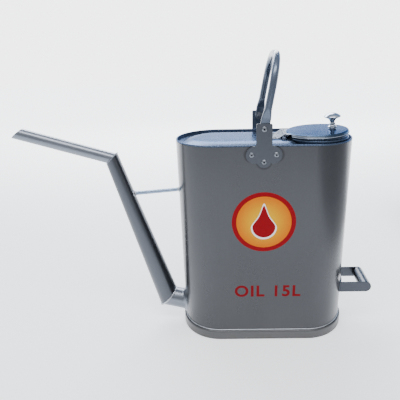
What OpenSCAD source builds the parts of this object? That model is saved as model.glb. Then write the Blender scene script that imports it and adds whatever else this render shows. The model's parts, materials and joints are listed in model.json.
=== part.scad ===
/* [Body] */
// Length of the flat-sided body
body_len = 320; // [250:1:420]
// Width of the body across its two flat sides
body_w = 150; // [130:1:200]
// Height of the rim above the ground
body_h = 388; // [320:1:480]
// Thickness of the body's sheet metal
sheet_t = 0.9; // [0.6:0.1:1.4]
// Width of the lap seam on the spout end
seam_w = 7; // [4:0.5:12]

/* [Foot and bottom] */
// Height of the foot band
foot_h = 19; // [12:0.5:30]
// How far the foot band stands out from the body
foot_out = 4; // [2:0.5:8]
// Height of the recessed bottom plate above the ground
bottom_z = 9; // [5:0.5:11]

/* [Top plate] */
// Depth of the gutter below the rim
gutter_d = 6.5; // [4:0.5:10]
// Height of the raised panel above the gutter
panel_rise = 6.3; // [3:0.1:8]
// Width of the panel's sloping shoulder
shoulder_w = 25; // [10:0.5:32]
// Gap between the foot of the shoulder and the body side
shoulder_gap = 13; // [8:0.5:20]
// Radius of the rounded rim
rim_r = 1.4; // [1.2:0.1:2]

/* [Filler neck and lid] */
// Outer radius of the filler neck
neck_r = 55.2; // [42:0.1:57]
// Distance from the neck's centre to the closed end of the body
neck_from_end = 63.2; // [61:0.1:75]
// Top of the neck above the rim
neck_up = 5.8; // [4:0.1:10]
// Clearance between the neck's lip and the inside of the lid
lid_clear = 0.45; // [0.3:0.05:1]
// Height of the lid's skirt
lid_skirt = 6; // [4:0.5:8]
// Radius of the half-round bead round the neck, under the lid
bead_r = 2.6; // [1:0.1:2.8]
// Radius of the lid's rounded edge
lid_edge_r = 3; // [1.5:0.5:4]
// Angle that the lid stands open at rest
lid_ajar = 3; // [0:0.5:8]
// Distance from the lid's centre to the knob
knob_off = 28.2; // [20:0.1:34]
// Height of the knob
knob_h = 28; // [22:0.5:36]
// Radius of the knob's head
knob_r = 15; // [11:0.5:18]

/* [Lid hinge] */
// Half the width of the hinge
hinge_hw = 27; // [20:0.5:30]
// Distance from the hinge pin to the edge of the lid
pin_gap = 3.6; // [3.4:0.1:6]
// Radius of the hinge pin
pin_r = 1.25; // [1:0.05:1.5]
// Outer radius of the hinge knuckles
knuckle_r = 2.6; // [2.4:0.1:3]
// Thickness of the hinge leaves
leaf_t = 1.1; // [0.8:0.1:1.4]
// Number of knuckles
knuckles = 5; // [3:2:7]

/* [Handle brackets] */
// Position of the brackets along the body
bracket_x = -4; // [-20:0.5:10]
// Thickness of the bracket plates
bracket_t = 2; // [1.5:0.1:3]
// Width of the bracket's upright strap
strap_w = 26.8; // [22:0.1:32]
// Height of the strap's top above the rim
strap_up = 36; // [32:0.5:44]
// Height of the handle's pivot above the rim
pivot_up = 27; // [25:0.5:30]
// Distance of the side rivets from the bracket's middle
rivet_x = 20.8; // [17:0.1:24]
// Depth of the side rivets below the rim
rivet_down = 16; // [14.5:0.5:20]
// Depth of the lowest rivet below the rim
rivet_low = 28.5; // [26:0.5:34]
// Radius of the bracket rivets
rivet_r = 2.4; // [2:0.1:3]
// Radius of the pivot rivets
pivot_r = 3; // [2.5:0.1:3.5]
// Running clearance around the pivot rivets
pivot_clear = 0.06; // [0.03:0.01:0.1]

/* [Bail handle] */
// Height of the bail's centre line above its pivot
bail_h = 117.3; // [100:0.1:150]
// Outer radius of the bail's tube
bail_r = 6.3; // [5:0.1:7]
// Wall of the bail's tube
bail_wall = 1.1; // [0.8:0.1:1.5]
// Radius of the bail's two corner bends
bail_bend = 54; // [40:0.5:56]
// Thickness of the flattened ends
bail_end_t = 5; // [4:0.1:6]
// Half the width of the flattened ends
bail_end_r = 8; // [7:0.1:8.5]
// Lean of the bail at rest, toward the lid
bail_lean = 10.6; // [0:0.1:20]

/* [Spout] */
// Height of the spout's axis where it leaves the body
spout_z = 42; // [40:0.5:50]
// Length of the short stub, along its axis
stub_len = 37.1; // [30:0.1:50]
// Rise of the stub
stub_rise = 14; // [0:0.5:20]
// Outer radius of the stub
stub_r = 20.5; // [18:0.1:21]
// Length of the tapered riser, along its axis
riser_len = 311.4; // [250:0.1:380]
// Tilt of the riser from upright
riser_tilt = 16.1; // [8:0.1:25]
// Outer radius of the riser at the knee
riser_r0 = 21.1; // [19:0.1:23]
// Outer radius of the riser at the elbow
riser_r1 = 13.2; // [12.5:0.1:15]
// Length of the nozzle, along its axis
nozzle_len = 175.6; // [120:0.1:220]
// Rise of the nozzle above level
nozzle_rise = 16.4; // [0:0.1:30]
// Outer radius of the nozzle
nozzle_r = 11; // [9:0.1:12]
// Direction that the cut mouth faces, from straight up
mouth_tilt = 38.4; // [30:0.1:60]
// Wall of the spout's tubes
spout_wall = 1; // [0.8:0.1:1.5]
// Radius of the flange around the stub
flange_r = 29; // [26:0.5:32]
// Thickness of the flange
flange_t = 1.5; // [1:0.1:2.5]
// Height of the brace above the ground, at the body
strut_z = 287.6; // [200:0.1:300]
// Drop of the brace toward the riser, in degrees
strut_drop = 4.7; // [0:0.1:10]
// Radius of the brace
strut_r = 3.65; // [3:0.05:5]

/* [Rear grip] */
// Height of the grip's middle above the ground
grip_z = 85; // [60:0.5:140]
// Distance between the middles of the two arms
grip_w = 59; // [50:0.5:70]
// How far the grip bar's axis stands off the body's end
grip_reach = 46.5; // [40:0.5:60]
// Height of the arms, and the bar's diameter
grip_h = 22; // [18:0.5:28]
// Thickness of the arms and the saddle
grip_t = 2.6; // [2:0.1:4]
// Wall of the bar's tube
grip_wall = 1.5; // [1:0.1:3]

/* [Hidden] */
$fn = 96;

paint = "#7e858d";
bright = "#c9ced4";

// Body outline: a straight middle between two half-round ends
body_r = body_w / 2;
end_x = body_len / 2 - body_r;
inner_r = body_r - sheet_t;
shell_z0 = 1.5;
foot_t = 1;
foot_hem = 1.4;
floor_lift = 0.5;
seam_a = 140;
seam_out = 0.5;
seam_end_gap = 5;
shell_top = body_h - 2 * rim_r;
far = 600;

// Top plate levels and outlines
gutter_z = body_h - gutter_d;
panel_z = gutter_z + panel_rise;
shoulder_out = body_r - shoulder_gap;
neck_x = body_len / 2 - neck_from_end;
neck_top = body_h + neck_up;
neck_wall = 1;
neck_lip = 0.75;
neck_dip = 4;
panel_gap = 2.7;
horn_back = 23.15;
shoulder_steps = 8;

// Lid levels: the hinge's leaf lies between the neck and the lid
lid_t = 0.8;
lid_inner = neck_r - neck_wall + 2 * neck_lip + lid_clear;
lid_r = lid_inner + lid_t;
panel_x1 = neck_x - lid_r - panel_gap - horn_back;
leaf_gap = 0.2;
lid_under = neck_top + leaf_gap + leaf_t;
lid_top = lid_under + lid_t;
bead_gap = 0.3;
bead_sink = 0.3;
bead_z = lid_top - lid_skirt - bead_gap - bead_r;
hem_r = 0.8;
notch_gap = 1.2;
trim_y = 0.9 * lid_inner;
trim_a = 3;
pin_x = neck_x - lid_r - pin_gap;
pin_z = lid_under - leaf_t / 2 - 1;
bore_clear = 0.05;
knuckle_gap = 0.3;
knuckle_len = 2 * hinge_hw / knuckles;
leaf_back = 23;
leaf_x0 = pin_x - leaf_back;
leaf_bend_x = pin_x - leaf_back / 2;
leaf_reach = 30;
hinge_rivet_x = leaf_x0 + 5.5;
hinge_rivet_y = hinge_hw - 10;
hinge_rivet_r = 1.6;

// Knob and its screw
knob_x = neck_x + knob_off;
screw_r = 1.95;
knob_bore_r = 2;
screw_deep = 11;

// Brackets and pivots
pivot_z = body_h + pivot_up;
strap_top = body_h + strap_up;
strap_corner = 3;
lobe_r = 15;
lobe_low_r = 12;
head_r = 4.5;
head_h = 1.7;
mandrel_r = 1.25;
tail_r = 3.5;
tail_len = 4;
end_gap = 0.3;
bail_y = body_r - end_gap - bail_end_t / 2;
washer_t = 1;
washer_gap = 0.2;

// Bail lengths, along its arms from the pivot
flat_len = 17;
crush_len = 15;
arm_top = bail_h - bail_bend;
tube_start = flat_len + crush_len;
apex_half = bail_y - bail_bend;
bail_seam_w = 1.2;

// Spout points, in the plane of the body's middle. Angles are from straight up.
stub_a = stub_rise - 90;
riser_a = -riser_tilt;
nozzle_a = nozzle_rise - 90;
root = [-body_len / 2, 0, spout_z];
knee = ahead(root, stub_a, stub_len);
elbow = ahead(knee, riser_a, riser_len);
mouth = ahead(elbow, nozzle_a, nozzle_len);
knee_a = (stub_a + riser_a) / 2;
elbow_a = (riser_a + nozzle_a) / 2;
cut_extra = 45;
knee_bead_w = 1.7;
knee_bead_h = 1;
elbow_bead_w = 2.2;
elbow_bead_h = 0.5;
strut_root = [-body_len / 2, 0, strut_z];
strut_a = -90 - strut_drop;
strut_len = 110;
pad_r = 6.5;
pad_t = 1.2;

// Rear grip
grip_y = grip_w / 2;
bar_x = body_len / 2 + grip_reach;
saddle_r = body_r + grip_t;
arm_y0 = grip_y - grip_t / 2;
arm_y1 = grip_y + grip_t / 2;

// The point that lies a distance ahead of p, in a direction given by its angle from straight up
function ahead(p, a, len) = [p[0] + len * sin(a), p[1], p[2] + len * cos(a)];

// Height of the shoulder's surface above the gutter, from its foot (0) to the panel (1)
function shoulder_z(s) = panel_rise * sin(90 * s);

// Points of an arc, from angle a0 to a1
function arc(c, r, a0, a1, n) =
    [for (i = [0:n]) c + r * [cos(a0 + (a1 - a0) * i / n), sin(a0 + (a1 - a0) * i / n)]];

// Radius of the riser a distance t above the knee
function riser_r(t) = riser_r0 + (riser_r1 - riser_r0) * t / riser_len;

// Flat outline with half-round ends, centred on x0 and x1
module outline(r, x0, x1) {
    translate([x0, -r]) square([x1 - x0, 2 * r]);
    for (x = [x0, x1]) translate([x, 0]) circle(r);
}

module slab(r, z0, z1) {
    translate([0, 0, z0]) linear_extrude(z1 - z0) outline(r, -end_x, end_x);
}

// Sweeps a section round an outline: its x is the distance out from the line x0 to x1
module sweep(x0, x1) {
    translate([x1, 0, 0]) rotate([0, 0, -90]) rotate_extrude(angle = 180) children();
    translate([x0, 0, 0]) rotate([0, 0, 90]) rotate_extrude(angle = 180) children();
    translate([x0, 0, 0]) rotate([90, 0, 90]) linear_extrude(x1 - x0) children();
    mirror([0, 1, 0]) translate([x0, 0, 0]) rotate([90, 0, 90]) linear_extrude(x1 - x0) children();
}

// Places things at p with their z axis turned to an angle from straight up
module aim(p, a) {
    translate(p) rotate([0, a, 0]) children();
}

// Everything ahead of a plane through p
module half_space(p, a) {
    aim(p, a) translate([-far / 2, -far / 2, 0]) cube(far);
}

module end_wall(side, r) {
    translate([side * end_x, 0, -far]) cylinder(r = r, h = 3 * far);
}

// Places things on the front (1) or rear (-1) bracket: x along the body, z out of the plate
module on_side(side, x, z) {
    translate([bracket_x + x, -side * body_r, z]) rotate([side * 90, 0, 0]) children();
}

module bracket_rivet_places(side) {
    for (x = [-rivet_x, rivet_x]) on_side(side, x, body_h - rivet_down) children();
    on_side(side, 0, body_h - rivet_low) children();
}

module body_shell() {
    color(paint) difference() {
        union() {
            slab(body_r, shell_z0, shell_top);
            // lap seam at the back of the spout end
            translate([-end_x, 0, foot_h + 1]) rotate([0, 0, seam_a])
                rotate_extrude(angle = seam_w / body_r * 180 / PI)
                    translate([inner_r, 0]) square([sheet_t + seam_out, shell_top - foot_h - 1 - seam_end_gap]);
        }
        slab(inner_r, 0, body_h);
        for (side = [-1, 1]) bracket_rivet_places(side) cylinder(r = rivet_r, h = 20, center = true);
        aim(root, stub_a) cylinder(r = stub_r - spout_wall, h = 60, center = true);
    }
}

module foot_ring() {
    out_r = body_r + foot_out;
    bend = foot_out - foot_t;
    centre = [out_r - bend, foot_h - bend];
    hem_z = foot_hem * 1.2;
    section = concat(
        [[out_r - foot_hem, 0], [out_r, 0]],
        arc(centre, bend, 0, 90, 8),
        [[body_r, foot_h], [body_r, foot_h - foot_t]],
        arc(centre, bend - foot_t, 90, 0, 8),
        [[out_r - foot_t, hem_z + foot_hem - foot_t], [out_r - foot_hem, hem_z]]
    );
    color(paint) sweep(-end_x, end_x) polygon(section);
}

module bottom_plate() {
    color(paint) difference() {
        slab(inner_r, shell_z0 + floor_lift, bottom_z + sheet_t);
        slab(inner_r - sheet_t, 0, bottom_z);
    }
}

// The raised panel as a solid block, drawn in by the thickness of its sheet
module panel_block(inset) {
    foot = shoulder_out - inset;
    section = concat(
        [[0, gutter_z - 20], [foot + 1, gutter_z - 20], [foot + 1, gutter_z - inset - 1]],
        [for (i = [0:shoulder_steps])
            [foot - shoulder_w * i / shoulder_steps, gutter_z + shoulder_z(i / shoulder_steps) - inset]],
        [[0, panel_z - inset]]
    );
    difference() {
        sweep(-end_x, panel_x1) polygon(section);
        translate([neck_x, 0, 0]) cylinder(r = lid_r + panel_gap + inset, h = far);
    }
}

module top_plate() {
    rim = arc([body_r - rim_r, body_h - rim_r], rim_r, -64, 180, 16);
    section = concat(
        [[inner_r - sheet_t, gutter_z - sheet_t / 2], [inner_r, gutter_z - sheet_t / 2]],
        [[inner_r, rim[0][1]]], rim, [[inner_r - sheet_t, body_h - rim_r]]
    );
    color(paint) difference() {
        union() {
            slab(inner_r - sheet_t / 2, gutter_z - sheet_t, gutter_z);
            intersection() {
                slab(inner_r - sheet_t, gutter_z - sheet_t / 2, body_h + 5);
                panel_block(0);
            }
            sweep(-end_x, end_x) polygon(section);
        }
        panel_block(sheet_t);
        translate([neck_x, 0, 0]) cylinder(r = neck_r, h = far);
    }
}

module filler_neck() {
    low = gutter_z - sheet_t - neck_dip;
    color(paint) translate([neck_x, 0, 0]) rotate_extrude() {
        translate([neck_r - neck_wall, low]) square([neck_wall, neck_top - neck_lip - low]);
        translate([neck_r - neck_wall + neck_lip, neck_top - neck_lip]) circle(neck_lip, $fn = 32);
        polygon(concat(
            [[neck_r - neck_wall / 2, bead_z - bead_r]],
            arc([neck_r - bead_sink, bead_z], bead_r, -90, 90, 10),
            [[neck_r - neck_wall / 2, bead_z + bead_r]]
        ));
    }
}

// Knuckles with even (0) or odd (1) numbers, as plain cylinders along the pin
module knuckle_row(odd, r, gap) {
    for (i = [0:knuckles - 1]) if (i % 2 == odd)
        translate([pin_x, -hinge_hw + i * knuckle_len + gap / 2, pin_z])
            rotate([-90, 0, 0]) cylinder(r = r, h = knuckle_len - gap);
}

module pin_hole() {
    translate([pin_x, 0, pin_z]) rotate([90, 0, 0])
        cylinder(r = pin_r + bore_clear, h = 3 * hinge_hw, center = true);
}

module hinge_base_leaf() {
    rise_x = pin_x - knuckle_r * 0.5;
    rise_z = pin_z + knuckle_r * 0.87;
    flat_top = panel_z + leaf_t;
    section = [
        [leaf_x0, panel_z], [leaf_bend_x, panel_z], [pin_x, rise_z - leaf_t * 1.1],
        [rise_x, rise_z], [leaf_bend_x - leaf_t / 2, flat_top], [leaf_x0, flat_top],
    ];
    color(bright) difference() {
        union() {
            translate([0, hinge_hw, 0]) rotate([90, 0, 0]) linear_extrude(2 * hinge_hw) polygon(section);
            knuckle_row(0, knuckle_r, knuckle_gap);
        }
        // room for the lid's knuckles
        knuckle_row(1, knuckle_r + 0.5, -knuckle_gap);
        pin_hole();
        for (y = [-hinge_rivet_y, hinge_rivet_y])
            translate([hinge_rivet_x, y, panel_z - 1]) cylinder(r = hinge_rivet_r, h = 5);
    }
}

module hinge_base_rivets() {
    color(bright) for (y = [-hinge_rivet_y, hinge_rivet_y])
        translate([hinge_rivet_x, y, panel_z]) {
            cylinder(r = hinge_rivet_r, h = leaf_t);
            translate([0, 0, leaf_t]) rotate_extrude()
                polygon(concat([[0, 0], [3, 0]], arc([0, -1.6], 3.4, 28.1, 90, 8)));
        }
}

module hinge_pin() {
    color(bright) translate([pin_x, 0, pin_z]) rotate([90, 0, 0]) {
        cylinder(r = pin_r, h = 2 * hinge_hw + 1, center = true);
        for (side = [-1, 1]) translate([0, 0, side * (hinge_hw + 0.7)])
            cylinder(r = pin_r + 0.7, h = 1, center = true);
    }
}

module bracket(side) {
    mid = body_h - rivet_down;
    color(paint) difference() {
        on_side(side, 0, 0) linear_extrude(bracket_t) {
            // on_side turns the plate's own y axis up or down with the side
            mirror([0, side < 0 ? 1 : 0]) {
                translate([-strap_w / 2, mid]) square([strap_w, strap_top - strap_corner - mid]);
                translate([-strap_w / 2 + strap_corner, mid])
                    square([strap_w - 2 * strap_corner, strap_top - mid]);
                for (x = [-1, 1]) {
                    translate([x * (strap_w / 2 - strap_corner), strap_top - strap_corner])
                        circle(strap_corner);
                    translate([x * (rivet_x + 9.7 - lobe_r), mid]) circle(lobe_r);
                }
                translate([0, body_h - rivet_low + 2]) circle(lobe_low_r);
            }
        }
        bracket_rivet_places(side) cylinder(r = rivet_r, h = 20, center = true);
        on_side(side, 0, pivot_z) cylinder(r = pivot_r, h = 20, center = true);
    }
}

// A dome head with the open centre of a blind rivet
module rivet_head(r, h) {
    difference() {
        rotate_extrude() polygon([[0, 0], [r, 0], [r, h * 0.25], [r * 0.86, h * 0.68], [r * 0.6, h], [0, h]]);
        translate([0, 0, h * 0.1]) cylinder(r = mandrel_r, h = h);
    }
}

module bracket_rivets(side) {
    color(bright) bracket_rivet_places(side) {
        translate([0, 0, bracket_t]) rivet_head(head_r, head_h);
        translate([0, 0, -sheet_t]) cylinder(r = rivet_r, h = bracket_t + sheet_t);
        translate([0, 0, -sheet_t - tail_len]) cylinder(r = tail_r, h = tail_len);
    }
}

module pivot_rivet(side) {
    inner = end_gap + bail_end_t + washer_gap + washer_t;
    color(bright) on_side(side, 0, pivot_z) {
        translate([0, 0, bracket_t]) rivet_head(head_r + 0.3, head_h + 0.2);
        translate([0, 0, -inner]) cylinder(r = pivot_r, h = bracket_t + inner);
        translate([0, 0, -inner - 1.8]) cylinder(r = pivot_r + 1.4, h = 1.8);
    }
}

module pivot_washer(side) {
    color(bright) on_side(side, 0, pivot_z) translate([0, 0, -end_gap - bail_end_t - washer_gap - washer_t])
        difference() {
            cylinder(r = 6.5, h = washer_t);
            cylinder(r = pivot_r, h = 3 * washer_t, center = true);
        }
}

module spout_stub() {
    color(paint) difference() {
        intersection() {
            aim(root, stub_a) translate([0, 0, -cut_extra]) cylinder(r = stub_r, h = stub_len + 2 * cut_extra);
            half_space(knee, knee_a + 180);
        }
        aim(root, stub_a) translate([0, 0, -2 * cut_extra])
            cylinder(r = stub_r - spout_wall, h = stub_len + 4 * cut_extra);
        end_wall(-1, body_r);
        half_space([0, 0, 0], 90);
    }
}

// The riser's cone, longer than the riser at both ends, grown by extra
module riser_cone(extra) {
    aim(knee, riser_a) translate([0, 0, -cut_extra]) cylinder(
        r1 = riser_r(-cut_extra) + extra,
        r2 = riser_r(riser_len + cut_extra) + extra,
        h = riser_len + 2 * cut_extra
    );
}

module spout_riser() {
    color(paint) difference() {
        intersection() {
            riser_cone(0);
            half_space(knee, knee_a);
            half_space(elbow, elbow_a + 180);
        }
        riser_cone(-spout_wall);
    }
}

module nozzle_rod(r) {
    aim(elbow, nozzle_a) translate([0, 0, -cut_extra]) cylinder(r = r, h = nozzle_len + 2 * cut_extra);
}

module spout_nozzle() {
    color(paint) difference() {
        intersection() {
            nozzle_rod(nozzle_r);
            half_space(elbow, elbow_a);
            half_space(mouth, 180 - mouth_tilt);
        }
        nozzle_rod(nozzle_r - spout_wall);
    }
}

// A weld bead round the knee: one ring on the stub's side and one on the riser's
module knee_weld() {
    color(bright) {
        difference() {
            intersection() {
                aim(knee, knee_a) translate([0, 0, knee_bead_w / 2]) cube([far, far, knee_bead_w], center = true);
                riser_cone(knee_bead_h);
            }
            riser_cone(0);
        }
        difference() {
            intersection() {
                aim(knee, knee_a) translate([0, 0, -knee_bead_w / 2]) cube([far, far, knee_bead_w], center = true);
                aim(knee, stub_a) cylinder(r = stub_r + knee_bead_h, h = 2 * cut_extra + 20, center = true);
            }
            aim(knee, stub_a) cylinder(r = stub_r, h = 4 * cut_extra, center = true);
        }
    }
}

// The bead that closes the step between the riser's mouth and the thinner nozzle
module elbow_weld() {
    color(bright) difference() {
        intersection() {
            aim(elbow, elbow_a) translate([0, 0, elbow_bead_w / 2]) cube([far, far, elbow_bead_w], center = true);
            aim(elbow, riser_a) cylinder(r = riser_r1 + elbow_bead_h, h = 2 * cut_extra, center = true);
        }
        aim(elbow, nozzle_a) cylinder(r = nozzle_r, h = 2 * cut_extra, center = true);
    }
}

module spout_flange() {
    color(paint) difference() {
        intersection() {
            end_wall(-1, body_r + flange_t);
            aim(root, stub_a) cylinder(r = flange_r, h = 60, center = true);
            translate([-far - end_x, -far / 2, foot_h + 0.3]) cube(far);
        }
        end_wall(-1, body_r);
        aim(root, stub_a) cylinder(r = stub_r, h = 80, center = true);
    }
}

module strut_rod(r) {
    aim(strut_root, strut_a) translate([0, 0, -10]) cylinder(r = r, h = strut_len);
}

module spout_strut() {
    color(bright) difference() {
        strut_rod(strut_r);
        riser_cone(0);
        end_wall(-1, body_r);
    }
}

// Weld pads at the two ends of the brace
module strut_pads() {
    color(bright) {
        difference() {
            intersection() {
                end_wall(-1, body_r + pad_t);
                strut_rod(pad_r);
            }
            end_wall(-1, body_r);
            strut_rod(strut_r);
        }
        difference() {
            intersection() {
                riser_cone(pad_t);
                strut_rod(pad_r);
            }
            riser_cone(0);
            strut_rod(strut_r);
        }
    }
}

module grip_saddle() {
    color(paint) difference() {
        intersection() {
            end_wall(1, saddle_r);
            translate([end_x, -arm_y1, grip_z - grip_h / 2]) cube([far, 2 * arm_y1, grip_h]);
        }
        end_wall(1, body_r);
    }
}

module grip_arm(side) {
    low = grip_z - grip_h / 2;
    color(paint) difference() {
        union() {
            translate([end_x, side > 0 ? arm_y0 : -arm_y1, low]) cube([bar_x - end_x, grip_t, grip_h]);
            translate([bar_x, side > 0 ? arm_y0 : -arm_y1, grip_z]) rotate([-90, 0, 0])
                cylinder(r = grip_h / 2, h = grip_t);
        }
        end_wall(1, saddle_r);
    }
}

module grip_bar() {
    color(paint) translate([bar_x, 0, grip_z]) rotate([90, 0, 0]) difference() {
        cylinder(r = grip_h / 2, h = 2 * arm_y0, center = true);
        cylinder(r = grip_h / 2 - grip_wall, h = 3 * arm_y0, center = true);
    }
}

// Turns things from the closed lid's place to its place at rest, slightly open
module lid_place() {
    translate([pin_x, 0, pin_z]) rotate([0, -lid_ajar, 0]) translate([-pin_x, 0, -pin_z]) children();
}

module lid() {
    low = lid_top - lid_skirt;
    section = concat(
        [[0, lid_top]],
        arc([lid_r - lid_edge_r, lid_top - lid_edge_r], lid_edge_r, 90, 0, 8),
        arc([lid_r, low + hem_r], hem_r, 90, -90, 8),
        [[lid_inner, low]],
        arc([lid_r - lid_edge_r, lid_top - lid_edge_r], lid_edge_r - lid_t, 0, 90, 8),
        [[0, lid_under]]
    );
    color(paint) lid_place() difference() {
        translate([neck_x, 0, 0]) rotate_extrude() polygon(section);
        // notch in the skirt for the hinge
        translate([neck_x - lid_r - 5, -hinge_hw - notch_gap, low - 5])
            cube([lid_r / 2, 2 * (hinge_hw + notch_gap), lid_under - low + 5]);
        // the skirt's edge rises toward the hinge, clear of the neck as the lid turns
        translate([neck_x - sqrt(lid_inner * lid_inner - trim_y * trim_y), 0, low]) rotate([0, trim_a, 0])
            translate([-lid_r, -lid_r, -lid_skirt]) cube([lid_r, 2 * lid_r, lid_skirt]);
        translate([knob_x, 0, lid_under - 5]) cylinder(r = screw_r + 0.2, h = 10);
    }
}

module hinge_lid_leaf() {
    color(bright) lid_place() difference() {
        union() {
            knuckle_row(1, knuckle_r, knuckle_gap);
            translate([pin_x, -hinge_hw, lid_under - leaf_t]) cube([leaf_reach, 2 * hinge_hw, leaf_t]);
        }
        // room for the base leaf's knuckles
        knuckle_row(0, knuckle_r + 0.5, -knuckle_gap);
        pin_hole();
    }
}

module lid_knob() {
    h = knob_h;
    r = knob_r;
    section = concat(
        [[0, 0], [6.2, 0], [6.6, 1.2], [7.8, 2.4], [7.8, 3.4], [5.4, 5.6], [4.5, 7.2]],
        arc([4.2, 8.9], 1.3, -70, 70, 6),
        [[4.2, h * 0.4]],
        arc([4.2 + 0.55 * r, h * 0.42], 0.53 * r, 180, 118, 6),
        [[r * 0.86, h * 0.705], [r, h * 0.76]],
        arc([0, h - 1.15 * r - 4], 1.15 * r + 4, 50.5, 90, 10)
    );
    color(bright) lid_place() translate([knob_x, 0, lid_top]) difference() {
        rotate_extrude() polygon(section);
        translate([0, 0, -1]) cylinder(r = knob_bore_r, h = screw_deep + 2);
    }
}

module knob_washer() {
    color(bright) lid_place() translate([knob_x, 0, lid_under - washer_t]) difference() {
        cylinder(r = 6, h = washer_t);
        cylinder(r = screw_r + 0.2, h = 3 * washer_t, center = true);
    }
}

module knob_screw() {
    seat = lid_under - washer_t;
    color(bright) lid_place() translate([knob_x, 0, seat]) difference() {
        union() {
            cylinder(r = screw_r, h = screw_deep);
            translate([0, 0, -2.4]) rotate_extrude()
                polygon([[0, 0], [2.8, 0], [3.8, 0.9], [3.8, 2.4], [0, 2.4]]);
        }
        translate([0, 0, -2.4]) cube([6, 0.9, 2.2], center = true);
    }
}

// Section of the bail's rolled tube, open along its seam on the left
module bail_section() {
    difference() {
        circle(bail_r);
        circle(bail_r - bail_wall);
        translate([-bail_r - 1, -bail_seam_w / 2]) square([2 * bail_wall + 1, bail_seam_w]);
    }
}

module bail_half() {
    // flattened end with the pivot's hole
    difference() {
        union() {
            translate([0, bail_y, 0]) rotate([90, 0, 0])
                cylinder(r = bail_end_r, h = bail_end_t, center = true);
            translate([-bail_end_r, bail_y - bail_end_t / 2, 0]) cube([2 * bail_end_r, bail_end_t, flat_len]);
        }
        translate([0, bail_y, 0]) rotate([90, 0, 0])
            cylinder(r = pivot_r + pivot_clear, h = 4 * bail_end_t, center = true);
    }
    // crushed stretch between the flat end and the round tube
    hull($fn = 32) {
        translate([-bail_end_r, bail_y - bail_end_t / 2, flat_len - 0.2])
            cube([2 * bail_end_r, bail_end_t, 0.2]);
        translate([0, bail_y, tube_start - 0.2]) cylinder(r = bail_r, h = 0.2);
    }
    translate([0, bail_y, tube_start]) linear_extrude(arm_top - tube_start) rotate(90) bail_section();
    // corner bend and half of the apex
    translate([0, apex_half, arm_top]) rotate([90, 0, 90])
        rotate_extrude(angle = 90) translate([bail_bend, 0]) bail_section();
    translate([0, 0, bail_h]) rotate([-90, 0, 0]) linear_extrude(apex_half) rotate(-90) bail_section();
}

module bail_handle() {
    color(paint) translate([bracket_x, 0, pivot_z]) rotate([0, bail_lean, 0]) {
        bail_half();
        mirror([0, 1, 0]) bail_half();
    }
}

body_shell();
foot_ring();
bottom_plate();
top_plate();
filler_neck();
hinge_base_leaf();
hinge_base_rivets();
hinge_pin();
bracket(1);  // front_bracket
bracket(-1);  // rear_bracket
bracket_rivets(1);  // front_bracket_rivets
bracket_rivets(-1);  // rear_bracket_rivets
pivot_rivet(1);  // front_pivot_rivet
pivot_rivet(-1);  // rear_pivot_rivet
pivot_washer(1);  // front_pivot_washer
pivot_washer(-1);  // rear_pivot_washer
spout_flange();
spout_stub();
knee_weld();
spout_riser();
elbow_weld();
spout_nozzle();
spout_strut();
strut_pads();
grip_saddle();
grip_arm(-1);  // grip_front_arm
grip_arm(1);  // grip_rear_arm
grip_bar();
lid();
hinge_lid_leaf();
lid_knob();
knob_screw();
knob_washer();
bail_handle();
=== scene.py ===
"""Pouring can for motor oil: its finishes, its formed pieces and a small studio."""

import json
import math

import bmesh
import bpy
from bpy.props import FloatProperty, FloatVectorProperty, PointerProperty, StringProperty
from mathutils import Matrix, Vector, noise


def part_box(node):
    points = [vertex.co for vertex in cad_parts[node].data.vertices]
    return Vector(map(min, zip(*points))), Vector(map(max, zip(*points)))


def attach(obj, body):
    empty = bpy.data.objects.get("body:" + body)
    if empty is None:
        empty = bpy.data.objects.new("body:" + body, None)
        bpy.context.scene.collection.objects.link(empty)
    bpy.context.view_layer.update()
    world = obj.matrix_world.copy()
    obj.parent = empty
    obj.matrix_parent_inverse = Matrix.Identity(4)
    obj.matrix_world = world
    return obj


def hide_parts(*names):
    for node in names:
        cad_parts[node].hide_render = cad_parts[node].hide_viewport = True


bl_info = {
    "name": "Motor Oil Pouring Can",
    "version": (1, 0, 0),
    "blender": (4, 5, 0),
    "location": "View3D > Sidebar > Oil Can",
    "description": "Finishes, formed pieces and studio for a sheet-metal pouring can",
    "category": "Object",
}

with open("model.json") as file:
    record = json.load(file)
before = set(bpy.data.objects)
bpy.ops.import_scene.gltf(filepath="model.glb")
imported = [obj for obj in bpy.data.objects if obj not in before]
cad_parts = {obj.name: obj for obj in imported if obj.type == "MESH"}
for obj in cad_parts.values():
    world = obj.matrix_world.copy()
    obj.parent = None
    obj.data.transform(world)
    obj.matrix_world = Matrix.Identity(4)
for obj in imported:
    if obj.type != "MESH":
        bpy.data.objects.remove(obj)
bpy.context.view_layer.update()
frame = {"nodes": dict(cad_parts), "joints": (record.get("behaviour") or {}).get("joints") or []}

MM = 0.001
FULL_TURN = 2 * math.pi

# The body's plan is two half rounds at a distance from the middle; heights are above the ground
END_X = 0.085
BODY_R = 0.075
FOOT_LINE_Z = 0.0197
DIRT_Z = 0.016
GUTTER_Z = 0.3815
PANEL_Z = 0.387

# The brackets' middle, the rivets' places from it and the size of the lobes that hold them
BRACKET_X = -0.004
BRACKET_RIVETS = ((-0.0208, 0.372), (0.0208, 0.372), (0, 0.3595))
LOBE_R = 0.0125

# Height of the font's capitals as a share of its size
CAPITAL_SHARE = 0.73

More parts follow.
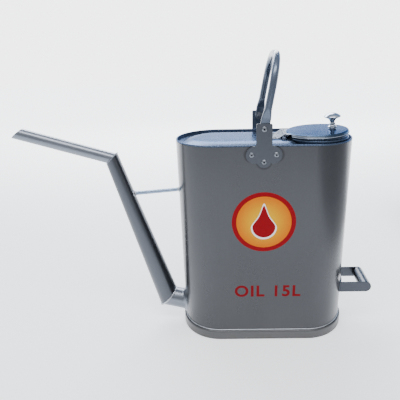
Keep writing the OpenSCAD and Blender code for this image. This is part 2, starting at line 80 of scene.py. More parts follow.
# The silver paint's parts, one finish for each kind of surface; several are lit, shaded or sky-tinted
# copies of the one silver paint
PAINTED = {
    "body": ("body_shell", "bottom_plate"),
    "foot": ("foot_ring",),
    "top": ("top_plate", "filler_neck"),
    "lid": ("lid",),
    "spout": ("spout_flange", "spout_stub", "spout_nozzle"),
    "riser": ("spout_riser",),
    "handle": ("front_bracket", "rear_bracket", "bail_handle"),
    "grip": ("grip_saddle", "grip_front_arm", "grip_rear_arm", "grip_bar"),
}
RIVET_NODES = (
    "front_bracket_rivets", "rear_bracket_rivets", "front_pivot_rivet", "rear_pivot_rivet",
    "front_pivot_washer", "rear_pivot_washer", "hinge_base_rivets", "hinge_pin",
    "knob_screw", "knob_washer",
)
HINGE_NODES = ("hinge_base_leaf", "hinge_lid_leaf")
WELD_NODES = ("knee_weld", "elbow_weld", "strut_pads")


def joint(name):
    """The record's own entry for a joint."""
    return next(j for j in frame["joints"] if j["name"] == name)


# ---------------------------------------------------------------- shader maths


class Socket:
    """A shader socket that can be used in sums. Each operator adds its Math node."""

    def __init__(self, shader, link):
        self.shader = shader
        self.link = link

    def __add__(self, other):
        return self.shader.math("ADD", self, other)

    def __sub__(self, other):
        return self.shader.math("SUBTRACT", self, other)

    def __rsub__(self, other):
        return self.shader.math("SUBTRACT", other, self)

    def __mul__(self, other):
        return self.shader.math("MULTIPLY", self, other)

    def __abs__(self):
        return self.shader.math("ABSOLUTE", self)

    __radd__ = __add__
    __rmul__ = __mul__

    def step(self, low, high):
        """Rises smoothly from 0 at low to 1 at high."""
        return self.shader.node(
            "ShaderNodeMapRange",
            {"interpolation_type": "SMOOTHSTEP"},
            {"Value": self, "From Min": low, "From Max": high},
            "Result",
        )

    def either(self, other):
        return self.shader.math("MAXIMUM", self, other)


class Shader:
    """A material or a world that is built from nodes."""

    def __init__(self, owner, coordinates="Object"):
        self.owner = owner
        owner.use_nodes = True
        self.tree = owner.node_tree
        self.tree.nodes.clear()
        self.place = self.node("ShaderNodeTexCoord", {}, {}, coordinates)
        self.split = None

    def node(self, kind, settings, inputs, output):
        """Adds a node, sets its settings, then its sockets, and gives one of its outputs."""
        made = self.tree.nodes.new(kind)
        for name, value in settings.items():
            setattr(made, name, value)
        for name, value in inputs.items():
            socket = self.find(made.inputs, name)
            if isinstance(value, Socket):
                self.tree.links.new(value.link, socket)
            else:
                socket.default_value = value
        return Socket(self, self.find(made.outputs, output))

    def find(self, sockets, name):
        """A socket by its number, its identifier or its name."""
        if isinstance(name, int):
            return sockets[name]
        return next((s for s in sockets if s.identifier == name), None) or sockets[name]

    def math(self, operation, *values):
        return self.node("ShaderNodeMath", {"operation": operation}, dict(enumerate(values)), 0)

    def axis(self, letter):
        """One coordinate of the surface point, in metres."""
        if self.split is None:
            self.split = self.node("ShaderNodeSeparateXYZ", {}, {"Vector": self.place}, "X").link.node
        return Socket(self, self.split.outputs[letter])

    def mapped(self, scale=(1, 1, 1), turn=(0, 0, 0)):
        """The surface point, turned and stretched."""
        return self.node(
            "ShaderNodeMapping", {}, {"Vector": self.place, "Scale": scale, "Rotation": turn}, "Vector"
        )

    def noise(self, scale, detail=2, rough=0.5, place=None):
        """Cloudy noise from about 0.25 to 0.75, with scale in cycles per metre."""
        return self.node(
            "ShaderNodeTexNoise",
            {},
            {"Vector": place or self.place, "Scale": scale, "Detail": detail, "Roughness": rough},
            "Fac",
        )

    def cells(self, scale, output="Color"):
        """Random cells, with scale in cells per metre."""
        return self.node("ShaderNodeTexVoronoi", {}, {"Vector": self.place, "Scale": scale}, output)

    def length(self, a, b):
        """The length of a flat vector with two parts."""
        return self.math("SQRT", a * a + b * b)

    def mix(self, share, a, b, blend="MIX"):
        """Mixes two colours."""
        return self.node(
            "ShaderNodeMix",
            {"data_type": "RGBA", "blend_type": blend},
            {"Factor_Float": share, "A_Color": a, "B_Color": b},
            "Result_Color",
        )

    def grey(self, value):
        """A number as a neutral colour."""
        parts = dict.fromkeys(("Red", "Green", "Blue"), value)
        return self.node("ShaderNodeCombineColor", {}, parts, "Color")

    def shade(self, colour, factor):
        """A colour made lighter or darker by a factor that varies over the surface."""
        return self.mix(1.0, colour, self.grey(factor), "MULTIPLY")

    def bump(self, height, distance):
        """Bumps of a height from 0 to 1, which stands for a distance in metres."""
        return self.node("ShaderNodeBump", {}, {"Height": height, "Distance": distance}, "Normal")

    def finish(self, **sockets):
        """Closes the material with a Principled shader."""
        named = {name.replace("_", " ").title().replace("Ior", "IOR"): v for name, v in sockets.items()}
        self.output("ShaderNodeOutputMaterial", self.node("ShaderNodeBsdfPrincipled", {}, named, "BSDF"))

    def output(self, kind, surface):
        out = self.tree.nodes.new(kind)
        self.tree.links.new(surface.link, out.inputs["Surface"])


def colour(value):
    return (*value[:3], 1.0)


def scratches(s, turns, scale, sharp):
    """Thin straight marks in a few directions, 0 to 1."""
    marks = None
    for turn in turns:
        lines = s.noise(scale, 2, 0.6, s.mapped((1, 1, 0.03), turn)).step(sharp, sharp + 0.03)
        marks = lines if marks is None else marks.either(lines)
    return marks


def silver_paint(name, tint, gloss, streaks, metal=0.9, coat=0.35, edge_tint=(1, 1, 1), extra=None):
    """Sprayed metallic paint: flakes, orange peel, runs, fine marks and dulled patches.

    extra is a function that changes the colour, roughness and metal in certain places.
    """
    s = Shader(bpy.data.materials.new(name))
    flakes = s.node("ShaderNodeSeparateColor", {}, {"Color": s.cells(1500)}, "Red")
    cloud = s.noise(9, 4, 0.55)
    runs = s.noise(60, 3, 0.6, s.mapped((1, 1, 0.06)))
    spots = s.noise(260, 2, 0.6)
    marks = scratches(s, ((0.3, 0.2, 0), (1.2, 0.5, 0.3), (0.1, 1.35, 0.8)), 420, 0.72)
    drift = s.noise(5, 2, 0.5, s.mapped((1, 1, 0.6)))
    patches = (cloud - 0.5) * 0.2 + (drift - 0.5) * 0.3 + (runs - 0.5) * streaks
    base = s.shade(colour(tint), 0.86 + flakes * 0.1 + patches + marks * 0.1)
    rough = gloss + (cloud - 0.5) * 0.16 + (runs - 0.5) * 0.1 + (spots - 0.5) * 0.06 + marks * 0.12
    peel = s.noise(330, 2, 0.5) * 0.4 + s.noise(38, 2, 0.5) * 1.2
    waves = s.noise(8, 1, 0.5) * 14
    if extra:
        base, rough, metal = extra(s, base, rough, metal)
    s.finish(
        base_color=base,
        roughness=rough,
        metallic=metal,
        coat_weight=coat,
        coat_roughness=0.14,
        specular_tint=colour(edge_tint),
        normal=s.bump(peel + waves + flakes * 0.12 - marks * 0.15, 0.00005),
    )


def foot_dirt(s, base, rough, metal):
    """Dirt that has crept up the foot band from the ground."""
    low = 1 - s.axis("Z").step(0.2 * DIRT_Z, DIRT_Z)
    dirt = low * s.noise(45, 4, 0.65).step(0.42, 0.62)
    return s.mix(dirt * 0.45, base, colour((0.10, 0.095, 0.085))), rough + dirt * 0.2, metal


def shell_shade_and_bare_inside(s, base, rough, metal):
    """Painted shade round the brackets' lobes, bare stained metal inside the tank and a painted
    reflection on the paler inner rim.
    """
    gap = None
    for x, z in BRACKET_RIVETS:
        away = s.length(s.axis("X") - (BRACKET_X + x), s.axis("Z") - z)
        gap = away if gap is None else s.math("MINIMUM", gap, away)
    # painted shade: a dark ring on the body round each bracket lobe, where the bracket's edge casts shade
    lobe_shade = (1 - gap.step(LOBE_R - 0.0005, LOBE_R + 0.0028)) * (1 - s.axis("Z").step(0.385, 0.3875))
    base = s.mix(lobe_shade * 0.75, base, colour((0.02, 0.021, 0.024)))
    out = (abs(s.axis("X")) - END_X).either(0.0)
    inner = 1 - s.length(out, s.axis("Y")).step(BODY_R - 0.0007, BODY_R - 0.0003)
    above = s.axis("Z").step(GUTTER_Z - 0.002, GUTTER_Z)
    bare = inner * (1 - above)
    # painted reflection: the rim's inner face above the gutter gets a paler, bluer, less metallic paint
    rim_reflection = inner * above
    film = s.noise(30, 4, 0.6).step(0.35, 0.7)
    tin = s.mix(film, colour((0.34, 0.33, 0.31)), colour((0.23, 0.19, 0.12)))
    base = s.mix(rim_reflection, s.mix(bare, base, tin), colour((0.36, 0.41, 0.48)))
    return base, rough + bare * -0.12 + rim_reflection * 0.1, metal - rim_reflection * 0.6


def gutter_sky_reflection(s, base, rough, metal):
    """Painted reflection: bluer, duller paint in the gutter round the raised panel, for the blue sky that
    the gutter reflects.
    """
    low = 1 - s.axis("Z").step(PANEL_Z - 0.001, PANEL_Z)
    return s.mix(low, base, colour((0.07, 0.095, 0.145))), rough, metal - low * 0.15


def lid_skirt_highlight(s, base, rough, metal):
    """Painted highlight: paler, less metallic paint on the lid's skirt, for the light that catches its
    rim.
    """
    low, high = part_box("lid")
    span = s.length(s.axis("X") - (low.x + high.x) / 2, s.axis("Y"))
    side = span.step(high.y - 0.0012, high.y - 0.0004)
    return s.mix(side, base, colour((0.32, 0.36, 0.42))), rough, metal - side * 0.4


def bare_steel(name, tint, gloss, grain=(1, 1, 1), patina=0.25, ripple=0.0):
    """Bright steel with a drawn grain, faint stains and handling marks."""
    s = Shader(bpy.data.materials.new(name))
    grained = s.noise(900, 3, 0.7, s.mapped(grain))
    stains = s.noise(70, 4, 0.65)
    marks = scratches(s, ((0.5, 0.9, 0.1), (1.4, 0.2, 0.6)), 700, 0.68)
    tone = 0.9 + (grained - 0.5) * 0.25 - stains.step(0.5, 0.7) * patina + marks * 0.08
    rough = gloss + (grained - 0.5) * 0.16 + stains.step(0.45, 0.7) * 0.14 + marks * 0.1
    height = grained * 0.5 + s.noise(160, 2, 0.5) * (1 + ripple) - marks * 0.4
    s.finish(
        base_color=s.shade(colour(tint), tone),
        roughness=rough,
        metallic=1.0,
        normal=s.bump(height, 0.00005),
    )


def chrome(name, tint):
    """Polished plating with hairlines and a few dull spots."""
    s = Shader(bpy.data.materials.new(name))
    marks = scratches(s, ((0.2, 0.4, 0), (1.1, 0.3, 0.9), (0.6, 1.3, 0.2)), 900, 0.66)
    haze = s.noise(120, 4, 0.6)
    pits = s.cells(1100, "Distance").step(0.05, 0.16)
    s.finish(
        base_color=s.shade(colour(tint), 0.93 + (haze - 0.5) * 0.16 + pits * 0.04),
        roughness=0.07 + haze.step(0.45, 0.75) * 0.12 + marks * 0.14,
        metallic=1.0,
        normal=s.bump(haze * 0.8 - marks * 0.3, 0.00003),
    )


def enamel(name, inner, outer, centre, reach):
    """Printed paint that goes from one colour at its centre to another at its edge, slightly worn."""
    s = Shader(bpy.data.materials.new(name))
    away = s.length(s.axis("X") - centre[0], s.axis("Z") - centre[1])
    grain = s.noise(700, 3, 0.6)
    wear = s.noise(240, 4, 0.7).step(0.66, 0.74)
    blend = s.mix(away.step(reach * 0.15, reach), colour(inner), colour(outer))
    s.finish(
        base_color=s.shade(blend, 0.93 + grain * 0.12 - wear * 0.14),
        roughness=0.5 + (grain - 0.5) * 0.2 + wear * 0.2,
        specular_ior_level=0.08,
        normal=s.bump(grain + s.noise(330, 2, 0.5) * 0.6, 0.00004),
    )


def ground(name, tint):
    """Pale matt board with a faint mottle that glows: softly near the can and brightly far behind it, so
    that it meets the bright room.
    """
    s = Shader(bpy.data.materials.new(name))
    glow = s.axis("Y").step(0.3, 2.2)
    # painted shade: the floor is darker and glows less out of sight on the right, which the can's end
    # reflects
    right_shade = s.axis("X").step(0.4, 0.65) * (1 - s.axis("Y").step(0.35, 0.8))
    near = s.mix(right_shade, (0.8, 0.81, 0.83, 1), (0.15, 0.15, 0.16, 1))
    s.finish(
        base_color=s.shade(colour(tint), 0.985 + s.noise(3, 3, 0.5) * 0.03 - right_shade * 0.45),
        roughness=0.85 + s.noise(400, 2, 0.5) * 0.1,
        specular_ior_level=0.2,
        emission_color=s.mix(glow, near, (3.3, 3.36, 3.42, 1)),
        emission_strength=1.0,
    )


# ---------------------------------------------------------------- mesh helpers


def lathe(profile, steps):
    """Turns a profile of (radius, height) points about the Z axis into a closed shape."""
    bm = bmesh.new()
    points = [bm.verts.new((r, 0, z)) for r, z in profile]
    lines = [bm.edges.new(pair) for pair in zip(points, points[1:])]
    bmesh.ops.spin(
        bm, geom=points + lines, cent=(0, 0, 0), axis=(0, 0, 1),
        angle=FULL_TURN, steps=steps, use_merge=True,
    )
    bmesh.ops.remove_doubles(bm, verts=bm.verts, dist=1e-7)
    bmesh.ops.recalc_face_normals(bm, faces=bm.faces)
    return bm


def darken_core(bm, radius):
    """Gives the faces close to a lathed shape's axis, but not its tail, the piece's second material."""
    for face in bm.faces:
        middle = face.calc_center_median()
        if middle.xy.length < radius and middle.z > -2 * MM:
            face.material_index = 1
    return bm


def curve_through(points, steps):
    """More points along a smooth line through the given ones."""
    made = []
    ends = [points[0], *points, points[-1]]
    for i in range(len(points) - 1):
        a, b, c, d = (Vector(p) for p in ends[i:i + 4])
        for k in range(steps):
            t = k / steps
            made.append(0.5 * (
                2 * b + (c - a) * t + (2 * a - 5 * b + 4 * c - d) * t * t
                + (3 * b - a - 3 * c + d) * t * t * t
            ))
    return [tuple(p) for p in made] + [tuple(points[-1])]


def add_copy(bm, part, matrix):
    """Adds a placed copy of one bmesh to another."""
    mesh = bpy.data.meshes.new("copy")
    part.to_mesh(mesh)
    mesh.transform(matrix)
    bm.from_mesh(mesh)
    bpy.data.meshes.remove(mesh)


def piece(bm, name, body, material, nodes=(), sharp=40):
    """Makes a finished object from a bmesh, rides it on its body and lets it stand for CAD nodes.

    material may name two materials with " + " between them.
    """
    mesh = bpy.data.meshes.new(name)
    bm.to_mesh(mesh)
    bm.free()
    for one in material.split(" + "):
        mesh.materials.append(bpy.data.materials[one])
    obj = bpy.data.objects.new(name, mesh)
    bpy.context.scene.collection.objects.link(obj)
    mesh.shade_smooth()
    mesh.set_sharp_from_angle(angle=math.radians(sharp))
    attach(obj, body)
    if nodes:
        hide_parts(*nodes)
    return obj


def facing(point, out, up=(0, 0, 1)):
    """Matrix that puts a shape's origin at a point and turns its Z axis outwards."""
    z = Vector(out).normalized()
    x = Vector(up).cross(z)
    x = x.normalized() if x.length > 1e-6 else Vector((1, 0, 0))
    y = z.cross(x)
    m = Matrix((x, y, z)).transposed().to_4x4()
    m.translation = Vector(point)
    return m


def softened(node, width, name, body, material):
    """A copy of a CAD node with its sharp edges rounded over."""
    bm = bmesh.new()
    bm.from_mesh(frame["nodes"][node].data)
    bmesh.ops.remove_doubles(bm, verts=bm.verts, dist=2e-6)
    bmesh.ops.dissolve_limit(
        bm, angle_limit=math.radians(0.6), verts=bm.verts, edges=bm.edges, use_dissolve_boundaries=False)
    edges = [e for e in bm.edges if len(e.link_faces) == 2 and e.calc_face_angle() > math.radians(40)]
    bmesh.ops.bevel(
        bm, geom=edges, offset=width, offset_type="OFFSET", affect="EDGES",
        segments=2, profile=0.5, material=-1, clamp_overlap=True)
    made = piece(bm, name, body, material, (node,), 50)
    made.modifiers.new("even shading", "WEIGHTED_NORMAL").keep_sharp = True
    return made


def ahead(point, angle, length):
    """The point a distance ahead in the plane of the spout, for an angle from straight up."""
    return Vector(point) + Vector((math.sin(angle), 0, math.cos(angle))) * length


# Lines of the spout, in metres: its axis leaves the body, turns at the knee and at the elbow
STUB_A, RISER_A, NOZZLE_A, STRUT_A = (math.radians(a) for a in (-76, -16.1, -73.6, -94.7))
STUB_ROOT = Vector((-END_X - BODY_R, 0, 0.042))
KNEE = ahead(STUB_ROOT, STUB_A, 0.0371)
ELBOW = ahead(KNEE, RISER_A, 0.3114)
STRUT_ROOT = Vector((-END_X - BODY_R, 0, 0.2876))
STUB_R = 0.0205
RISER_R = (0.0211, 0.0132)
NOZZLE_R = 0.011


# ---------------------------------------------------------------- settings


class OilCanFinishes(bpy.types.PropertyGroup):
    """Colours of the paint and the metals."""

    body: FloatVectorProperty(
        name="Body paint", description="Silver paint on the body",
        subtype="COLOR", min=0, max=1, default=(0.056, 0.058, 0.0635))
    # painted light: the foot colour is paler than the body's, to make up for the shaded floor that the
    # foot band reflects
    foot: FloatVectorProperty(
        name="Foot paint", description="Silver paint on the foot band",
        subtype="COLOR", min=0, max=1, default=(0.085, 0.086, 0.09))
    # painted reflection: the top colour is bluer than the body's, for the sky that the top reflects
    top: FloatVectorProperty(
        name="Top paint", description="Silver paint on the top plate and the neck",
        subtype="COLOR", min=0, max=1, default=(0.058, 0.08, 0.125))
    # painted reflection: the lid colour is deep blue, for the sky that the lid reflects
    lid: FloatVectorProperty(
        name="Lid paint", description="Bluer and glossier paint on the lid",
        subtype="COLOR", min=0, max=1, default=(0.036, 0.06, 0.1))
    # painted light: the spout and the riser take lit and shaded copies of one silver paint, the spout's
    # far paler than the riser's
    spout: FloatVectorProperty(
        name="Spout paint", description="Silver paint on the spout",
        subtype="COLOR", min=0, max=1, default=(0.2, 0.218, 0.255))
    riser: FloatVectorProperty(
        name="Riser paint", description="Silver paint on the spout's long tube",
        subtype="COLOR", min=0, max=1, default=(0.085, 0.092, 0.108))
    handle: FloatVectorProperty(
        name="Handle paint", description="Silver paint on the brackets and the grip",
        subtype="COLOR", min=0, max=1, default=(0.052, 0.058, 0.072))
    # painted reflection: the bail colour is paler and bluer than the body's, for the sky that the bail
    # reflects
    bail: FloatVectorProperty(
        name="Bail paint", description="Silver paint on the carrying handle",
        subtype="COLOR", min=0, max=1, default=(0.095, 0.122, 0.17))
    steel: FloatVectorProperty(
        name="Bright steel", description="Rivets, pins, washers and the brace",
        subtype="COLOR", min=0, max=1, default=(0.22, 0.235, 0.265))
    gloss: FloatProperty(
        name="Paint roughness", description="How dull the silver paint is",
        subtype="FACTOR", min=0.1, max=0.8, default=0.3)


class OilCanKnob(bpy.types.PropertyGroup):
    """Sizes of the lid's knob."""

    height: FloatProperty(
        name="Knob height", description="From the lid to the top of the knob",
        subtype="DISTANCE", unit="LENGTH", min=0.02, max=0.04, default=0.028)
    radius: FloatProperty(
        name="Knob radius", description="Radius of the knob's flared head",
        subtype="DISTANCE", unit="LENGTH", min=0.01, max=0.02, default=0.015)
    place: FloatProperty(
        name="Knob place", description="Where the knob stands along the closed lid",
        subtype="DISTANCE", unit="LENGTH", min=0.1, max=0.14, default=0.125)
    lid_top: FloatProperty(
        name="Lid top", description="Height of the closed lid's upper face",
        subtype="DISTANCE", unit="LENGTH", min=0.35, max=0.45, default=0.3959)


class OilCanBail(bpy.types.PropertyGroup):
    """Sizes of the bail handle, measured from its pivots."""

    tube: FloatProperty(
        name="Tube radius", description="Radius of the bail's round tube",
        subtype="DISTANCE", unit="LENGTH", min=0.004, max=0.009, default=0.0063)
    rise: FloatProperty(
        name="Rise", description="Height of the tube's centre line above the pivots",
        subtype="DISTANCE", unit="LENGTH", min=0.09, max=0.14, default=0.1173)
    reach: FloatProperty(
        name="Half span", description="From the middle to the centre of each arm",
        subtype="DISTANCE", unit="LENGTH", min=0.06, max=0.08, default=0.0722)
    bend: FloatProperty(
        name="Bend radius", description="Radius of the two corner bends",
        subtype="DISTANCE", unit="LENGTH", min=0.03, max=0.06, default=0.054)
    flat: FloatProperty(
        name="Flat length", description="Length of the flattened ends above the pivots",
        subtype="DISTANCE", unit="LENGTH", min=0.01, max=0.03, default=0.016)
    crush: FloatProperty(
        name="Crushed length", description="Length over which the tube turns flat",
        subtype="DISTANCE", unit="LENGTH", min=0.005, max=0.03, default=0.018)
    end_width: FloatProperty(
        name="End width", description="Width of the flattened ends",
        subtype="DISTANCE", unit="LENGTH", min=0.01, max=0.02, default=0.016)
    end_thick: FloatProperty(
        name="End thickness", description="Thickness of the flattened ends",
        subtype="DISTANCE", unit="LENGTH", min=0.003, max=0.007, default=0.005)
    lean: FloatProperty(
        name="Lean", description="Lean of the resting bail toward the lid",
        subtype="ANGLE", min=0, max=0.5, default=math.radians(10.6))


class OilCanBadge(bpy.types.PropertyGroup):
    """The printed emblem and the capacity mark."""

    place: FloatVectorProperty(
        name="Emblem place", description="Centre of the emblem along and up the front",
        size=2, subtype="XYZ", unit="LENGTH", default=(-0.003, 0.2485))
    radius: FloatProperty(
        name="Emblem radius", description="Radius of the round emblem",
        subtype="DISTANCE", unit="LENGTH", min=0.02, max=0.07, default=0.057)
    inner: FloatVectorProperty(
        name="Amber centre", description="Emblem colour at its centre",
        subtype="COLOR", min=0, max=1, default=(0.66, 0.36, 0.001))
    outer: FloatVectorProperty(
        name="Amber edge", description="Emblem colour at its edge",
        subtype="COLOR", min=0, max=1, default=(0.55, 0.115, 0.001))
    red: FloatVectorProperty(
        name="Red", description="Colour of the drop and the ring",
        subtype="COLOR", min=0, max=1, default=(0.22, 0.001, 0.005))
    mark: StringProperty(
        name="Capacity mark", description="The painted capacity", default="OIL 15L")
    mark_place: FloatVectorProperty(
        name="Mark place", description="Centre of the capacity mark along and up the front",
        size=2, subtype="XYZ", unit="LENGTH", default=(0.005, 0.108))
    mark_height: FloatProperty(
        name="Mark height", description="Height of the painted figures",
        subtype="DISTANCE", unit="LENGTH", min=0.01, max=0.05, default=0.024)


class OilCanStudio(bpy.types.PropertyGroup):
    """Camera, lights and floor."""

    lens: FloatProperty(
        name="Focal length", description="Focal length of the camera, in millimetres",
        min=20, max=120, default=36.29)
    sky: FloatProperty(
        name="Sky strength", description="Strength of the soft light from all round",
        min=0, max=5, default=0.8)
    floor: FloatVectorProperty(
        name="Floor", description="Colour of the floor",
        subtype="COLOR", min=0, max=1, default=(0.86, 0.87, 0.88))


# ---------------------------------------------------------------- operators


class OILCAN_OT_finishes(bpy.types.Operator):
    """Gives every sheet-metal part of the can its finish"""

    bl_idname = "oilcan.finishes"
    bl_label = "Finishes"

    def execute(self, context):
        p = context.scene.oilcan_finishes
        silver_paint("body paint", p.body, p.gloss, 0.10, extra=shell_shade_and_bare_inside)
        # painted light: the foot finish is a paler copy of the body paint
        silver_paint("foot paint", p.foot, p.gloss + 0.06, 0.06, metal=0.8, extra=foot_dirt)
        # painted reflection: the top and lid finishes are bluer than the body's and get a blue edge tint,
        # for the sky that they reflect
        silver_paint("top paint", p.top, p.gloss - 0.04, 0.04, metal=0.8, coat=0.1,
                     edge_tint=(0.45, 0.55, 0.78), extra=gutter_sky_reflection)
        silver_paint("lid paint", p.lid, p.gloss - 0.15, 0.04, metal=0.9, coat=0.05,
                     edge_tint=(0.48, 0.59, 0.82), extra=lid_skirt_highlight)
        # painted light: lit and shaded copies of one paint on the spout and the riser
        silver_paint("spout paint", p.spout, p.gloss + 0.03, 0.08)
        silver_paint("riser paint", p.riser, p.gloss + 0.03, 0.08)
        silver_paint("handle paint", p.handle, p.gloss + 0.04, 0.05, metal=0.75)
        silver_paint("bail paint", p.bail, p.gloss - 0.03, 0.05, metal=0.7)
        silver_paint("grip paint", p.handle, p.gloss + 0.02, 0.05)
        bare_steel("rivet steel", p.steel, 0.28)
        # partly real, partly painted shade: the mandrel's end deep in each rivet's hole is near black,
        # for the shade in the hole
        bare_steel("mandrel steel", (0.035, 0.035, 0.04), 0.5)
        bare_steel("hinge steel", (0.08, 0.10, 0.135), 0.34, (1, 0.1, 1))
        bare_steel("weld metal", (0.55, 0.58, 0.63), 0.3, ripple=1.5)
        # painted reflection: the brace's bare steel is tinted blue, for the sky that it reflects
        bare_steel("brace steel", (0.26, 0.34, 0.47), 0.26, (0.1, 1, 1), 0.1)
        chrome("knob chrome", (0.40, 0.44, 0.50))
        for kind, nodes in PAINTED.items():
            self.assign(nodes, kind + " paint")
        self.assign(RIVET_NODES, "rivet steel")
        self.assign(HINGE_NODES, "hinge steel")
        self.assign(WELD_NODES, "weld metal")
        self.assign(("spout_strut",), "brace steel")
        self.assign(("lid_knob",), "knob chrome")
        return {"FINISHED"}

    def assign(self, nodes, name):
        for node in nodes:
            for holder in frame["nodes"][node].material_slots:
                holder.material = bpy.data.materials[name]


class OILCAN_OT_knob(bpy.types.Operator):
    """Turns the lid's plated knob"""

    bl_idname = "oilcan.knob"
    bl_label = "Knob"

    def execute(self, context):
        p = context.scene.oilcan_knob
        foot = [(0, 0), (6.2, 0), (6.6, 0.4), (6.7, 1.1), (7.4, 1.8), (7.8, 2.6), (7.7, 3.4),
                (6.9, 4.2), (5.6, 5.3), (4.7, 6.6), (4.5, 7.3), (5.0, 8.0), (5.45, 8.6),
                (5.45, 9.2), (5.0, 9.9), (4.3, 10.6)]
        cup = [(4.15, 11.6), (4.5, 13.2), (5.5, 15.2), (7.3, 17.1), (9.8, 18.6), (12.4, 19.7),
               (14.2, 20.5), (14.95, 21.3), (14.8, 22.1), (13.6, 23.4), (11.2, 25.2), (7.8, 26.8),
               (4.0, 27.7), (0, 28)]
        cup_r, cup_top = max(r for r, _ in cup), cup[-1][1]
        wide, high = p.radius / cup_r, p.height / cup_top
        points = [(r * wide, 0, z * high) for r, z in foot + cup]
        smooth = [(max(x, 0), z) for x, _, z in curve_through(points, 3)]
        bm = lathe(smooth, 64)
        hinge = joint("lid_hinge")
        pin = Vector(hinge["pos_m"])
        ajar = Matrix.Rotation(-math.radians(hinge["range_deg"][0]), 4, Vector(hinge["axis"]))
        move = Matrix.Translation(pin) @ ajar @ Matrix.Translation(Vector((p.place, 0, p.lid_top)) - pin)
        bmesh.ops.transform(bm, matrix=move, verts=bm.verts)
        piece(bm, "turned_knob", "lid_body", "knob chrome", ("lid_knob",), 60)
        return {"FINISHED"}


class OILCAN_OT_bail(bpy.types.Operator):
    """Bends the bail from tube, crushes its ends flat and sets it on its pivots"""

    bl_idname = "oilcan.bail"
    bl_label = "Bail"

    def execute(self, context):
        p = context.scene.oilcan_bail
        bm = bmesh.new()
        ring = bmesh.ops.create_circle(bm, cap_ends=False, radius=p.tube, segments=40)["verts"]
        # the rolled tube's seam is a groove on the inner side
        inner = min(ring, key=lambda v: (round(v.co.y, 6), v.co.x))
        inner.co *= 0.82
        turn = Matrix.Rotation(math.radians(90), 4, "X")
        bmesh.ops.rotate(bm, verts=ring, cent=(0, 0, 0), matrix=turn)
        bmesh.ops.translate(bm, verts=ring, vec=(0, 0, p.rise))
        edges = list(bm.edges)
        corner = (0, p.reach - p.bend, p.rise - p.bend)
        edges = self.pull(bm, edges, (0, p.reach - p.bend, 0))
        made = bmesh.ops.spin(
            bm, geom=edges + [v for v in {v for e in edges for v in e.verts}],
            cent=corner, axis=(1, 0, 0), angle=math.radians(-90), steps=20)
        edges = [e for e in made["geom_last"] if isinstance(e, bmesh.types.BMEdge)]
        edges = self.pull(bm, edges, (0, 0, p.flat + p.crush - corner[2]))
        steps = 10
        for i in range(1, steps + 1):
            edges = self.pull(bm, edges, (0, 0, -p.crush / steps))
            share = i / steps
            before = (i - 1) / steps
            self.flatten(bm, edges, p, self.ease(before), self.ease(share))
        edges = self.pull(bm, edges, (0, 0, -p.flat))
        round_steps = 7
        half = p.end_width / 2
        last = 0.0
        wide = half
        for i in range(1, round_steps + 1):
            angle = math.radians(90) * i / round_steps
            down = half * math.sin(angle)
            now = max(half * math.cos(angle), half * 0.12)
            edges = self.pull(bm, edges, (0, 0, last - down))
            bmesh.ops.scale(bm, vec=(now / wide, 1, 1), verts=self.verts(edges))
            last, wide = down, now
        bmesh.ops.contextual_create(bm, geom=edges)
        bmesh.ops.mirror(bm, geom=bm.verts[:] + bm.edges[:] + bm.faces[:], axis="Y", merge_dist=1e-5)
        bmesh.ops.remove_doubles(bm, verts=bm.verts, dist=1e-6)
        bmesh.ops.recalc_face_normals(bm, faces=bm.faces)
        pivot = Vector(joint("bail_pivot")["pos_m"])
        place = Matrix.Translation(pivot) @ Matrix.Rotation(p.lean, 4, "Y")
        bmesh.ops.transform(bm, matrix=place, verts=bm.verts)
        piece(bm, "bent_bail", "bail_body", "bail paint", ("bail_handle",), 50)
        return {"FINISHED"}

    def verts(self, edges):
        return list({v for e in edges for v in e.verts})

    def pull(self, bm, edges, step):
        """Extrudes the open ring and moves it on."""
        made = bmesh.ops.extrude_edge_only(bm, edges=edges)["geom"]
        verts = [g for g in made if isinstance(g, bmesh.types.BMVert)]
        bmesh.ops.translate(bm, verts=verts, vec=step)
        return [g for g in made if isinstance(g, bmesh.types.BMEdge) and all(v in verts for v in g.verts)]

    def ease(self, share):
        return share * share * (3 - 2 * share)

    def flatten(self, bm, edges, p, before, now):
        """Takes the ring from one stage of crushing to the next: thinner across, wider along."""
        verts = self.verts(edges)
        thin = [p.tube + (p.end_thick / 2 - p.tube) * t for t in (before, now)]
        spread = [(p.end_width / 2 - p.end_thick / 2) * t for t in (before, now)]
        for v in verts:
            across = v.co.y - p.reach
            side = 1 if v.co.x > 0 else -1
            along = (v.co.x - side * spread[0]) * thin[1] / thin[0] + side * spread[1]
            v.co = (along, p.reach + across * thin[1] / thin[0], v.co.z)


